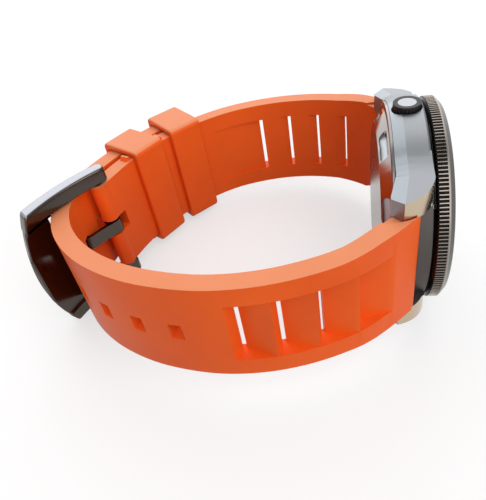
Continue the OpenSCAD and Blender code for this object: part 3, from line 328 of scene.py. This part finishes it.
case_steel = metal("case_steel", (0.28, 0.293, 0.308), 0.4, circular_grain, 0.05)
bevel_steel = metal("bevel_steel", (0.275, 0.3, 0.325), 0.34, circular_grain, 0.05)
# The lighter, warmer steel of the lug tops is a painted highlight.
lug_painted_highlight = metal("lug_painted_highlight", (0.55, 0.44, 0.32), 0.24, straight_grain)
# Between the lugs the blasted steel is painted dark, as painted shade.
blasted_steel_painted_shade = metal("blasted_steel_painted_shade", (0.095, 0.086, 0.08), 0.5)
blasted_steel_painted_shade.bump(blasted_steel_painted_shade.noise(blasted_steel_painted_shade.place(), 5200), 0.35, 0.03)
caseback_steel = metal("caseback_steel", (0.27, 0.26, 0.255), 0.25, circular_grain)
wall_steel = metal("wall_steel", (0.42, 0.4, 0.39), 0.12, circular_grain, 0.04)
pocket_steel = metal("pocket_steel", (0.52, 0.55, 0.58), 0.55)
buckle_steel = metal("buckle_gunmetal", (0.085, 0.073, 0.064), 0.18, straight_grain, 0.04)
# The buckle's narrow sides get a brighter, bluer steel, which is a painted highlight.
buckle_painted_highlight = metal("buckle_painted_highlight", (0.3, 0.31, 0.34), 0.2, straight_grain, 0.04)
spring_steel = metal("spring_steel", (0.4, 0.4, 0.41), 0.25, straight_grain)
polished_steel = metal("polished_steel", (0.29, 0.3, 0.32), 0.14)
plate_nickel = metal("plate_nickel", (0.5, 0.48, 0.45), 0.3, straight_grain)
brass = metal("gilt_brass", (0.7, 0.45, 0.15), 0.28, circular_grain)
blued_steel = metal("blued_steel", (0.04, 0.08, 0.3), 0.2, straight_grain)
case_colour = case_steel.shader.inputs["Base Color"].default_value
print("case base colour:", [round(c, 3) for c in case_colour])

# %% [markdown]
# ## Bezel with painted shade in its flutes
# The bezel's skirt is cut into narrow ribs. Their flutes get a near-black colour, which is painted
# shade, and the slope above them is darker than the ribs. The faces could be painted one by one.
# The flutes are deeper and the slope is higher than the ribs, though, so the distance from the
# axis and the level tell the three apart in the shader.

# %% Bezel finish
BEZEL_RADIUS, RIB_DEPTH, SKIRT_TOP, SLOPE_FROM = 20.5, 0.07, 2.32, 2.5
RIB, SLOPE, PAINTED_FLUTE_SHADE = (0.28, 0.247, 0.217), (0.095, 0.094, 0.093), (0.012, 0.01, 0.009)

bezel_steel = metal("gunmetal", RIB, 0.26, circular_grain)
tree = bezel_steel.tree
radius, level = radius_and_level(bezel_steel)
under_ribs = maths(tree, "LESS_THAN", radius, (BEZEL_RADIUS - RIB_DEPTH) * MM)
on_skirt = maths(tree, "LESS_THAN", level, SKIRT_TOP * MM)
# The flutes get the near-black painted shade.
flute_shade_mask = maths(tree, "MULTIPLY", under_ribs, on_skirt)
on_slope = maths(tree, "GREATER_THAN", level, SLOPE_FROM * MM)
shade = maths(tree, "ADD", maths(tree, "MULTIPLY", on_slope, 0.5), flute_shade_mask)
bezel_steel.put("Base Color", bezel_steel.ramp(shade, [(0, RIB), (0.5, SLOPE), (1, PAINTED_FLUTE_SHADE)]))
print("bezel: flutes below", SKIRT_TOP, "mm, slope above", SLOPE_FROM, "mm")

# %% [markdown]
# ## Coated, moulded and clear finishes
# The crown is coated black, the insert is anodised dark grey with a faint mottle, the dial is
# lacquered, the luminous fillings are chalky, and gaskets and the movement's holder are moulded.
# All of these are a colour with a fine relief, so one function makes them. The crystal and the
# jewels are clear, which takes transmission and the stone's own index of refraction.

# %% Other finishes
def coated(name, colour, roughness, grain, strength, depth):
    """A colour with a fine relief."""
    finish = Finish(name, colour, roughness)
    finish.bump(finish.noise(finish.place(), grain), strength, depth)
    return finish


gasket_rubber = coated("black_rubber", (0.012, 0.012, 0.013), 0.6, 3000, 0.2, 0.04)
crown_black = coated("black_coating", (0.008, 0.008, 0.009), 0.45, 5000, 0.15, 0.03)
crown_black.put("Specular IOR Level", 0.3)
dial_black = coated("dial_lacquer", (0.01, 0.0105, 0.012), 0.5, 2500, 0.1, 0.03)
lume = coated("lume", (0.82, 0.86, 0.76), 0.7, 6000, 0.3, 0.03)
hand_white = coated("hand_paint", (0.8, 0.8, 0.78), 0.35, 4000, 0.1, 0.02)
holder_plastic = coated("holder_plastic", (0.55, 0.55, 0.52), 0.55, 1500, 0.2, 0.04)

insert_grey = Finish("anodised_grey", (0.06, 0.06, 0.062), 0.7)
mottle = insert_grey.noise(insert_grey.place(), 900, 4)
MOTTLE_STOPS = [(0.35, (0.035, 0.035, 0.037)), (0.7, (0.13, 0.13, 0.13))]
insert_grey.put("Base Color", insert_grey.ramp(mottle, MOTTLE_STOPS))
insert_grey.put("Specular IOR Level", 0.08)

ruby = Finish("ruby", (0.55, 0.01, 0.06), 0.08)
ruby.put("Transmission Weight", 0.4)
ruby.put("IOR", 1.76)

sapphire = Finish("sapphire", (0.97, 0.985, 1.0), 0.02)
sapphire.put("Transmission Weight", 1.0)
sapphire.put("IOR", 1.5)
print("clear finishes:", ruby.material.name, sapphire.material.name)

# %% [markdown]
# ## A finish for every solid
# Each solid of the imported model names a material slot. The solids could be dressed one by one,
# but a table from slot to finish dresses them all, so no hidden piece keeps a plain colour.

# %% Dress the solids
finish_of_slot = {
    "case_steel": case_steel, "caseback_steel": caseback_steel, "bezel_steel": bezel_steel,
    "bezel_insert": insert_grey, "lume": lume, "crystal": sapphire,
    "gasket_rubber": gasket_rubber, "spring_steel": spring_steel, "crown_black": crown_black,
    "polished_steel": polished_steel, "holder_plastic": holder_plastic,
    "movement_plate": plate_nickel, "blued_steel": blued_steel, "jewel_ruby": ruby,
    "brass": brass, "dial_black": dial_black, "hand_white": hand_white,
    "strap_rubber": strap_rubber, "buckle_steel": buckle_steel,
}
for name, node in nodes.items():
    node.data.materials.clear()
    node.data.materials.append(finish_of_slot[slot_of_node(name)].material)
print("dressed", len(nodes), "solids with", len(finish_of_slot), "finishes")

# %% [markdown]
# ## Copies with rounded edges
# Moulded rubber and finished steel have no knife edges. A Bevel modifier could round them, but a
# solid arrives as loose triangles. So a copy has its triangles joined and its flat faces made
# whole first, and then the bevel operator rounds the edges that turn sharply.

# %% Copy and round
MERGE_WITHIN, FLAT_WITHIN, ROUND_STEPS = 2e-6, 0.4, 3


def joined_copy(node):
    """A bmesh of a solid, its loose triangles joined and its flat faces made whole."""
    shape = bmesh.new()
    shape.from_mesh(nodes[node].data)
    bmesh.ops.remove_doubles(shape, verts=shape.verts, dist=MERGE_WITHIN)
    bmesh.ops.dissolve_limit(shape, angle_limit=math.radians(FLAT_WITHIN),
                             verts=shape.verts, edges=shape.edges)
    return shape


def round_edges(shape, width, sharp, chosen=None, clamp=True):
    """Rounds the edges that turn by more than an angle, or those of them that are chosen."""
    edges = [e for e in shape.edges
             if len(e.link_faces) == 2 and e.calc_face_angle() > math.radians(sharp)
             and (chosen is None or chosen(e))]
    bmesh.ops.bevel(shape, geom=edges, offset=width * MM, offset_type="OFFSET",
                    segments=ROUND_STEPS, profile=0.5, affect="EDGES",
                    clamp_overlap=clamp, material=-1)


print("rounds have", ROUND_STEPS, "steps")

# %% [markdown]
# ## Where the rounds differ
# The strap's long edges are rounder than the edges of its vents, so they are found by their
# place and rounded first. The buckle's edges are rounded everywhere but at the holes for its
# bar, which have to keep their fit. The wall around the case back leans more on the real watch,
# where it mirrors the keepers. Moving a few points is enough for that, so the copy's wall and
# its wrench pockets are leaned inwards before their edges are rounded.

# %% Strap rims, buckle holes and the leaning wall
RIM_ROUND, RIM_AT = 0.5, 9.0
BAR_CLEAR = 1.2
WALL_TOP, WALL_FOOT, WALL_INSIDE, FOOT_IN = -7.0, -8.85, 16.4, 1.1
JUST_PAST_FOOT = 1.01
bar_middle = Vector(joints["buckle_tilt"]["pos_m"])
bar_along = Vector(joints["buckle_tilt"]["axis"]).normalized()


def on_strap_rim(edge):
    """True on the long edges along both sides of the strap, away from its vents and holes."""
    return all(abs((dial_back @ v.co).x) > RIM_AT * MM for v in edge.verts)


def away_from_bar(edge):
    """True on the buckle's edges that don't belong to the holes for its bar."""
    return all((v.co - bar_middle).cross(bar_along).length > BAR_CLEAR * MM for v in edge.verts)


def lean_wall(shape):
    """Leans the case back's wall and its pockets inwards, more towards the wrist."""
    for vert in shape.verts:
        place = dial_back @ vert.co / MM
        radius = place.xy.length
        down = (WALL_TOP - place.z) / (WALL_TOP - WALL_FOOT)
        if 0 < down < JUST_PAST_FOOT and radius > WALL_INSIDE:
            nearer = 1 - down * FOOT_IN / radius
            vert.co = on_dial(place.x * nearer, place.y * nearer, place.z)


print("strap rims rounded by", RIM_ROUND, "mm, wall leaned by", FOOT_IN, "mm")

# %% [markdown]
# ## The soft-edged pieces
# A table gives each visible solid the name of its copy, the width of the round in mm and the
# angle in degrees from which an edge counts as sharp. Bevel can hold every round back to the
# tightest spot of the piece. The buckle and the keepers are simple enough to do without that, so
# their rounds keep their full width. Weighted normals then keep flat faces flat in the shading.

# %% Soft-edged copies of the visible solids
soft_edges = {
    "strap_tail_half": ("strap_tail", 0.15, 40),
    "strap_buckle_half": ("strap_buckle_side", 0.15, 40),
    "fixed_keeper": ("keeper_by_buckle", 0.5, 40),
    "sliding_keeper": ("keeper_loose", 0.5, 40),
    "buckle_frame": ("buckle", 0.55, 40),
    "buckle_tongue": ("tongue", 0.2, 40),
    "mid_case": ("case", 0.1, 14),
    "caseback": ("case_back", 0.1, 40),
    "crown": ("crown_grip", 0.08, 40),
}
full_width = ("buckle_frame", "fixed_keeper", "sliding_keeper")

soft_pieces = {}
for node, (name, width, sharp) in soft_edges.items():
    slot = slot_of_node(node)
    shape = joined_copy(node)
    if node.startswith("strap_"):
        round_edges(shape, RIM_ROUND, sharp, on_strap_rim)
    if node == "caseback":
        lean_wall(shape)
    chosen = away_from_bar if node == "buckle_frame" else None
    round_edges(shape, width, sharp, chosen, clamp=node not in full_width)
    bmesh.ops.recalc_face_normals(shape, faces=shape.faces)
    piece = add_piece(name, shape, body_of_node(node), finish_of_slot[slot], [node])
    even = piece.modifiers.new("even_shading", "WEIGHTED_NORMAL")
    even.mode, even.keep_sharp = "FACE_AREA", True
    soft_pieces[name] = piece
    print(name, len(piece.data.polygons), "faces")

# %% [markdown]
# ## One piece, several finishes
# The narrow sides of the strap and its keepers get a paler orange, and the buckle's two narrow
# sides a brighter steel: both are painted highlights. These could be split into pieces of their
# own, but they are one moulding or one casting. So each face tells by its place and its direction,
# both in the dial's frame, which finish it has.

# %% Finishes by face
def finish_faces(piece, finish, belongs):
    """Gives a finish to the faces for which belongs(place in mm, direction) holds."""
    piece.data.materials.append(finish.material)
    index = len(piece.data.materials) - 1
    chosen = 0
    for face in piece.data.polygons:
        place = dial_back @ face.center / MM
        direction = dial_back.to_3x3() @ face.normal
        if belongs(place, direction):
            face.material_index = index
            chosen += 1
    print(piece.name, finish.material.name, chosen, "faces")


SIDE_AT, SIDE_FACING, BUCKLE_FACING = 9.9, 0.6, 0.75


# The narrow sides of the strap and keepers, which get the painted highlight.
def on_rubber_side(place, direction):
    return abs(direction.x) > SIDE_FACING and abs(place.x) > SIDE_AT


# The buckle's narrow sides, which get the painted highlight.
def on_buckle_side(place, direction):
    return abs(direction.x) > BUCKLE_FACING


for name in ("strap_tail", "strap_buckle_side", "keeper_by_buckle", "keeper_loose"):
    finish_faces(soft_pieces[name], rubber_painted_highlight, on_rubber_side)
finish_faces(soft_pieces["buckle"], buckle_painted_highlight, on_buckle_side)

# %% [markdown]
# ## Surfaces of the case
# The case is brushed on its flank and polished on the bevel below it. The curved tops of the lugs
# get a lighter, warmer steel, which is a painted highlight, and between the lugs the case is blasted
# and painted dark as shade. The case back's wall is polished and its pockets are matt. The same
# function tells them apart, and a later finish wins where two overlap.

# %% Finishes of the case and the case back
BEVEL_LEAN, BEVEL_BELOW, BEVEL_OUTSIDE = (-0.45, -0.2), -3.5, 16
LUG_LEAN, LUG_FROM, LUG_BESIDE = 0.1, 17, 11
GAP_WITHIN, GAP_FROM = 10.95, 14
WALL_LEAN, WALL_WITHIN = (-0.95, -0.7), 18.9
POCKET_LEAN, POCKET_WITHIN = (-0.65, -0.35), 17.3


def leans(direction, limits):
    """True where a face's tilt towards the dial lies between two limits."""
    return limits[0] < direction.z < limits[1]


def on_bevel(place, direction):
    outside = place.z < BEVEL_BELOW and place.xy.length > BEVEL_OUTSIDE
    return leans(direction, BEVEL_LEAN) and outside


def on_lug_top(place, direction):
    return direction.z > LUG_LEAN and abs(place.y) > LUG_FROM and abs(place.x) > LUG_BESIDE


# Where the case gets the painted shade between the lugs.
def between_lugs(place, direction):
    return abs(place.x) < GAP_WITHIN and abs(place.y) > GAP_FROM


def on_wall(place, direction):
    return leans(direction, WALL_LEAN) and place.xy.length < WALL_WITHIN


def in_pocket(place, direction):
    return leans(direction, POCKET_LEAN) and place.xy.length < POCKET_WITHIN


for finish, belongs in ((bevel_steel, on_bevel), (lug_painted_highlight, on_lug_top),
                        (blasted_steel_painted_shade, between_lugs)):
    finish_faces(soft_pieces["case"], finish, belongs)
for finish, belongs in ((wall_steel, on_wall), (pocket_steel, in_pocket)):
    finish_faces(soft_pieces["case_back"], finish, belongs)

# %% [markdown]
# ## Printed marks
# Marks on a bezel and a dial are a few hundredths of a millimetre thick. A texture could hold
# them, but thin plates stay crisp from close by and are real geometry. One function lays a plate
# at a minute of the hour in the dial's frame, and another turns text into a plate.

# %% Plates and numerals
PLATE, CAPITAL_SHARE, DEGREES_PER_MINUTE = 0.03, 0.7, 6


def at_minute(minute):
    """The dial's frame, turned clockwise from 12 o'clock to a minute."""
    return dial_frame @ Matrix.Rotation(math.radians(-DEGREES_PER_MINUTE * minute), 4, "Z")


def add_plate(shape, minute, radius, level, length, width, tilt=0.0):
    """A thin plate on the dial side, pointing to the axis, at a minute of the hour."""
    place = Matrix.Translation(Vector((0, radius, level)) * MM) @ Matrix.Rotation(tilt, 4, "X")
    size = Matrix.Diagonal((width * MM, length * MM, PLATE * MM, 1))
    bmesh.ops.create_cube(shape, size=1, matrix=at_minute(minute) @ place @ size)


def add_numeral(shape, text, minute, radius, level, height):
    """A number as a thin plate that reads from the outside."""
    curve = bpy.data.curves.new("numeral", "FONT")
    curve.body, curve.size = text, height / CAPITAL_SHARE * MM
    curve.extrude = PLATE / 2 * MM
    curve.align_x, curve.align_y = "CENTER", "CENTER"
    writer = bpy.data.objects.new("numeral", curve)
    bpy.context.scene.collection.objects.link(writer)
    drawn = writer.evaluated_get(bpy.context.evaluated_depsgraph_get())
    mesh = bpy.data.meshes.new_from_object(drawn)
    bpy.data.objects.remove(writer)
    mesh.transform(at_minute(minute) @ Matrix.Translation(Vector((0, radius, level)) * MM))
    shape.from_mesh(mesh)
    bpy.data.meshes.remove(mesh)


print("plates are", PLATE, "mm thick")

# %% [markdown]
# ## Minute scale of the bezel
# A diver reads the time under water from the bezel: numerals every ten minutes, bars at the
# fives between, short strokes for the first twenty, and a triangle at zero. All but the triangle
# are plates and numerals set by a loop, which is shorter and more even than placing each one.

# %% Marks on the bezel
INSERT_TOP, TRIANGLE_LIFT = 3.2, 0.02
MARK_AT, STROKE_AT = 17.05, 17.75
mark_level = INSERT_TOP + PLATE / 2

bezel_marks = bmesh.new()
for minute in range(1, 60):
    if minute % 10 == 0:
        add_numeral(bezel_marks, str(minute), minute, MARK_AT, mark_level, height=1.9)
    elif minute % 5 == 0:
        add_plate(bezel_marks, minute, MARK_AT, mark_level, length=2.4, width=0.6)
    elif minute < 20:
        add_plate(bezel_marks, minute, STROKE_AT, mark_level, length=1.2, width=0.28)
corners = [on_dial(three, twelve, INSERT_TOP + TRIANGLE_LIFT)
           for three, twelve in ((-1.6, 18.6), (0, 15.6), (1.6, 18.6))]
bezel_marks.faces.new([bezel_marks.verts.new(corner) for corner in corners])
marks = add_piece("bezel_marks", bezel_marks, "bezel", hand_white)
print("bezel marks:", len(marks.data.polygons), "faces")

# %% [markdown]
# ## Scale around the dial and inlays of the hands
# A sloping ring around the dial carries a stroke for every minute, longer at the fives. The
# plates are tilted to lie on the slope, whose angle comes from its inner and outer edge. The
# hands have luminous inlays, which are plates that ride on the hands.

# %% Marks on the ring and the hands
RING_IN, RING_OUT, RING_LIFT = (12.4, -0.35), (13.5, 0.85), 0.01
FIVE_MARK, MINUTE_MARK = (1.2, 0.32), (0.8, 0.14)
INLAY_MIDDLE, INLAY_SHARE = 0.58, 0.5
slope = math.atan2(RING_OUT[1] - RING_IN[1], RING_OUT[0] - RING_IN[0])
ring_radius = (RING_IN[0] + RING_OUT[0]) / 2
ring_level = (RING_IN[1] + RING_OUT[1]) / 2 + RING_LIFT

ring_marks = bmesh.new()
for minute in range(60):
    length, width = FIVE_MARK if minute % 5 == 0 else MINUTE_MARK
    add_plate(ring_marks, minute, ring_radius, ring_level, length, width, slope)
add_piece("ring_marks", ring_marks, "case", hand_white)

hands = {"hour_hand": (305 / DEGREES_PER_MINUTE, 7.4, 0.9, -0.1),
         "minute_hand": (10, 11.2, 0.75, 0.25)}
for node, (minute, reach, width, top) in hands.items():
    inlay = bmesh.new()
    add_plate(inlay, minute, reach * INLAY_MIDDLE, top + PLATE / 2, reach * INLAY_SHARE, width)
    add_piece(node + "_inlay", inlay, body_of_node(node), lume)
print("ring slope", round(math.degrees(slope), 1), "degrees, inlays on", len(hands), "hands")

# %% [markdown]
# ## Floor
# The watch lies on a plain pale floor, a single square a few metres wide.

# %% Floor
floor_shape = bmesh.new()
bmesh.ops.create_grid(floor_shape, x_segments=1, y_segments=1, size=3)
floor_mesh = bpy.data.meshes.new("floor")
floor_shape.to_mesh(floor_mesh)
floor_shape.free()
floor = bpy.data.objects.new("floor", floor_mesh)
bpy.context.scene.collection.objects.link(floor)
print("floor", [round(s, 1) for s in floor.dimensions], "m")

# %% [markdown]
# ## White ground
# A white floor under enough light would render white, but the same light would wash out the
# watch. So the floor is a mid grey that takes the shadow, and a glow on top of it is seen only by
# the camera, by mirrors and through glass. Far away the glow grows to the white of the walls, so
# that no horizon shows.

# %% Floor paint
FLOOR_GREY, FLOOR_GLOW = 0.38, 0.57
FADE_FROM, FADE_TO = 0.25, 1.2


def seen_directly(tree):
    """1 for what the camera, a mirror or a lens sees, 0 for light on its way to a surface."""
    path = add_node(tree, "LightPath").outputs
    seen = maths(tree, "MAXIMUM", path["Is Camera Ray"], path["Is Glossy Ray"])
    return maths(tree, "MAXIMUM", seen, path["Is Transmission Ray"])


floor_paint = bpy.data.materials.new("floor_paint")
floor_paint.use_nodes = True
tree = floor_paint.node_tree
tree.nodes.remove(tree.nodes["Principled BSDF"])
distance = add_node(tree, "VectorMath")
distance.operation = "LENGTH"
feed(tree, distance.inputs[0], add_node(tree, "TexCoord").outputs["Object"])
fade = map_range(tree, distance.outputs["Value"], FADE_FROM, FADE_TO, FLOOR_GLOW, 1)
glow = add_node(tree, "Emission", Strength=maths(tree, "MULTIPLY", seen_directly(tree), fade))
matte = add_node(tree, "BsdfDiffuse", Color=(FLOOR_GREY, FLOOR_GREY, FLOOR_GREY, 1))
both = add_node(tree, "AddShader")
for socket, part in zip(both.inputs, (matte, glow)):
    feed(tree, socket, part.outputs[0])
feed(tree, tree.nodes["Material Output"].inputs["Surface"], both.outputs[0])
floor_mesh.materials.append(floor_paint)
print("floor paint:", len(tree.nodes), "nodes")

# %% [markdown]
# ## Room
# Around the watch is a plain white room. As light it is only a weak fill, and it is white where
# the camera or a mirror sees it. Its ceiling is greyer there, which gives polished metal its dark
# side. Walls could be modelled for that, but the world's colour by direction does the same.

# %% Room
ROOM_LIGHT, CEILING = 0.45, 0.45
CEILING_FROM, CEILING_TO = 0.2, 0.8

world = bpy.data.worlds.new("room")
bpy.context.scene.world = world
world.use_nodes = True
tree = world.node_tree
sky = tree.nodes["Background"]
sky.inputs["Color"].default_value = (1, 1, 1, 1)
towards = add_node(tree, "TexCoord").outputs["Generated"]
height = add_node(tree, "SeparateXYZ", Vector=towards).outputs["Z"]
shown = map_range(tree, height, CEILING_FROM, CEILING_TO, 1, CEILING)
feed(tree, sky.inputs["Strength"], map_range(tree, seen_directly(tree), 0, 1, ROOM_LIGHT, shown))
print("room light", ROOM_LIGHT)

# %% [markdown]
# ## Lights
# The photograph's light is soft and comes from two sides: from above and behind, which brightens
# the strap's upper edges, and from the front right, which lights the near face. Small lamps would
# draw hard shadows, so both are area lights about a metre wide. Each is turned to the watch.

# %% Lights
LIT_POINT = Vector((0, 0, 0.02))


def soft_light(name, at, size, power):
    """A square area light that faces the watch."""
    data = bpy.data.lights.new(name, "AREA")
    data.size = size
    data.energy = power
    light = bpy.data.objects.new(name, data)
    light.location = at
    light.visible_camera = False
    light.rotation_euler = (LIT_POINT - Vector(at)).to_track_quat("-Z", "Y").to_euler()
    bpy.context.scene.collection.objects.link(light)


soft_light("behind_above", at=(-0.13, 0.4, 0.38), size=0.85, power=3.1)
soft_light("front_right", at=(0.5, -0.55, 0.74), size=1.3, power=9.1)
bpy.context.scene.view_settings.view_transform = "Standard"
print("lights:", [light.name for light in bpy.data.lights])
